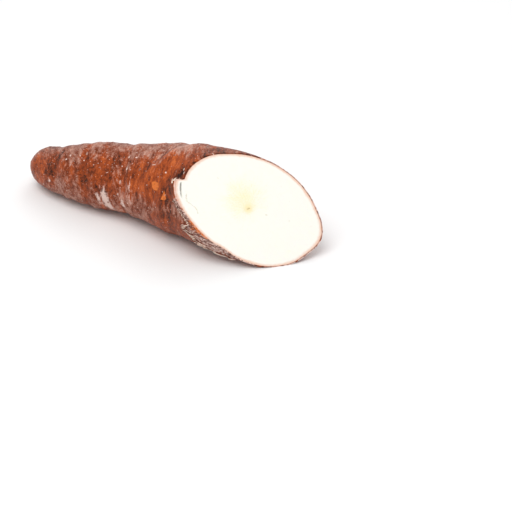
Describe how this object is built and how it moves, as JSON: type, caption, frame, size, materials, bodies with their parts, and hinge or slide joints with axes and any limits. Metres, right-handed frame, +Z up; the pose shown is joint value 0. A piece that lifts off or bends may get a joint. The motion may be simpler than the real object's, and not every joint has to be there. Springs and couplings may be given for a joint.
{
  "type": "cassava root",
  "caption": "Tapering cassava root with ringed brown bark and a slanting cut through its thick end that bares the white flesh",
  "frame": {"origin": "under the middle of the root's bounding box, on the surface that it lies on", "axes": "+X runs along the root from its blunt tip to the cut end, +Z is up, and the cut face looks towards +X, -Y and +Z"},
  "size_m": [0.2042, 0.061, 0.0593],
  "materials": {
    "bark": "thin brown bark with a soft waxy sheen, rust-orange patches, grey bands and pale scuffs",
    "cortex": "moist pinkish-cream skin, 1.9 mm thick, between bark and flesh",
    "flesh": "smooth starchy white cut flesh with a yellowish centre"
  },
  "bodies": {
    "root": {"cassava_root": "bark"}
  },
  "joints": []
}
